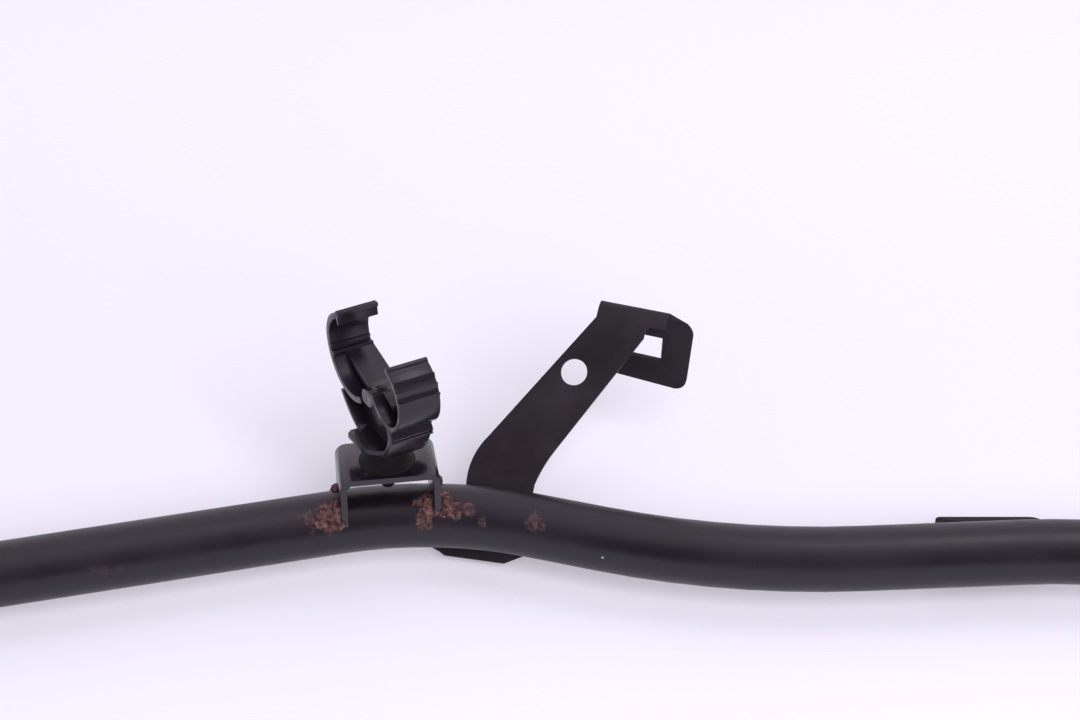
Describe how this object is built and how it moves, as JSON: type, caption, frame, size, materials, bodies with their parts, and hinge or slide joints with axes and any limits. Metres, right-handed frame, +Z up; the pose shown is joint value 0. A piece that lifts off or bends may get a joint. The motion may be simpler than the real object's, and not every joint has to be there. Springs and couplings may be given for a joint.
{
  "type": "anti-roll bar",
  "caption": "Bent round anti-roll bar with rubber-bushed saddles and drop links at its ends, carrying a welded hinged hose clip bracket and a strap bracket with a folded flange.",
  "frame": {"origin": "on the mounting face, midway between the two saddles and at the centre of their bolt holes", "axes": "+X along the bar to the right, +Y towards the arms, +Z up from the mounting face"},
  "size_m": [0.9582, 0.258, 0.143],
  "materials": {
    "bar_paint": "satin black paint",
    "weld_paint": "black paint over weld, rusting",
    "bracket_paint": "gloss black paint",
    "strap_paint": "matt black paint",
    "clip_plastic": "dark grey moulded nylon",
    "rubber": "matt black rubber",
    "zinc_steel": "zinc plated",
    "aluminium": "plain",
    "seat_plastic": "white acetal",
    "spring_steel": "bare spring steel",
    "link_paint": "black electrocoat"
  },
  "bodies": {
    "bar": {"stabiliser_bar": "bar_paint", "left_stop_ring": "aluminium", "right_stop_ring": "aluminium", "clip_bracket": "bracket_paint", "clip_bracket_welds": "weld_paint", "hose_clip_body": "clip_plastic", "strap_bracket": "strap_paint", "strap_bracket_welds": "weld_paint", "rear_tab_bracket": "strap_paint", "rear_tab_welds": "weld_paint", "left_lower_ball_stud": "zinc_steel", "left_lower_nut": "zinc_steel", "right_lower_ball_stud": "zinc_steel", "right_lower_nut": "zinc_steel"},
    "clip_lid": {"clip_lid": "clip_plastic"},
    "left_mount": {"left_bush": "rubber", "left_saddle": "zinc_steel"},
    "left_link": {"left_link_rod": "link_paint", "left_lower_housing": "link_paint", "left_lower_ball_seat": "seat_plastic", "left_lower_housing_cap": "link_paint", "left_lower_boot": "rubber", "left_lower_boot_clamp": "spring_steel", "left_upper_housing": "link_paint", "left_upper_ball_seat": "seat_plastic", "left_upper_housing_cap": "link_paint", "left_upper_boot": "rubber", "left_upper_boot_clamp": "spring_steel", "left_lower_boot_neck_ring": "spring_steel"},
    "left_top_stud": {"left_upper_ball_stud": "zinc_steel", "left_upper_boot_neck_ring": "spring_steel"},
    "right_mount": {"right_bush": "rubber", "right_saddle": "zinc_steel"},
    "right_link": {"right_link_rod": "link_paint", "right_lower_housing": "link_paint", "right_lower_ball_seat": "seat_plastic", "right_lower_housing_cap": "link_paint", "right_lower_boot": "rubber", "right_lower_boot_clamp": "spring_steel", "right_upper_housing": "link_paint", "right_upper_ball_seat": "seat_plastic", "right_upper_housing_cap": "link_paint", "right_upper_boot": "rubber", "right_upper_boot_clamp": "spring_steel", "right_lower_boot_neck_ring": "spring_steel"},
    "right_top_stud": {"right_upper_ball_stud": "zinc_steel", "right_upper_boot_neck_ring": "spring_steel"}
  },
  "joints": [
    {"name": "lid_hinge", "type": "hinge", "parent": "bar", "child": "clip_lid", "pos_m": [-0.04664, 0.0469, 0.0682], "axis": [0.8829, 0.4695, 0], "range_deg": [0, 85]},
    {"name": "left_bush_twist", "type": "hinge", "parent": "bar", "child": "left_mount", "pos_m": [-0.32, 0, 0.02], "axis": [1, 0, 0], "range_deg": [-25, 25], "stiffness_Nm_per_rad": 6},
    {"name": "left_link_swing", "type": "hinge", "parent": "bar", "child": "left_link", "pos_m": [-0.468, 0.19, 0.02], "axis": [1, 0, 0], "range_deg": [-35, 35]},
    {"name": "left_top_stud_tilt", "type": "hinge", "parent": "left_link", "child": "left_top_stud", "pos_m": [-0.468, 0.19, 0.13], "axis": [0, 1, 0], "range_deg": [-18, 18], "deforming": ["left_upper_boot"]},
    {"name": "right_bush_twist", "type": "hinge", "parent": "bar", "child": "right_mount", "pos_m": [0.32, 0, 0.02], "axis": [1, 0, 0], "range_deg": [-25, 25], "stiffness_Nm_per_rad": 6},
    {"name": "right_link_swing", "type": "hinge", "parent": "bar", "child": "right_link", "pos_m": [0.468, 0.19, 0.02], "axis": [1, 0, 0], "range_deg": [-35, 35]},
    {"name": "right_top_stud_tilt", "type": "hinge", "parent": "right_link", "child": "right_top_stud", "pos_m": [0.468, 0.19, 0.13], "axis": [0, 1, 0], "range_deg": [-18, 18], "deforming": ["right_upper_boot"]}
  ]
}
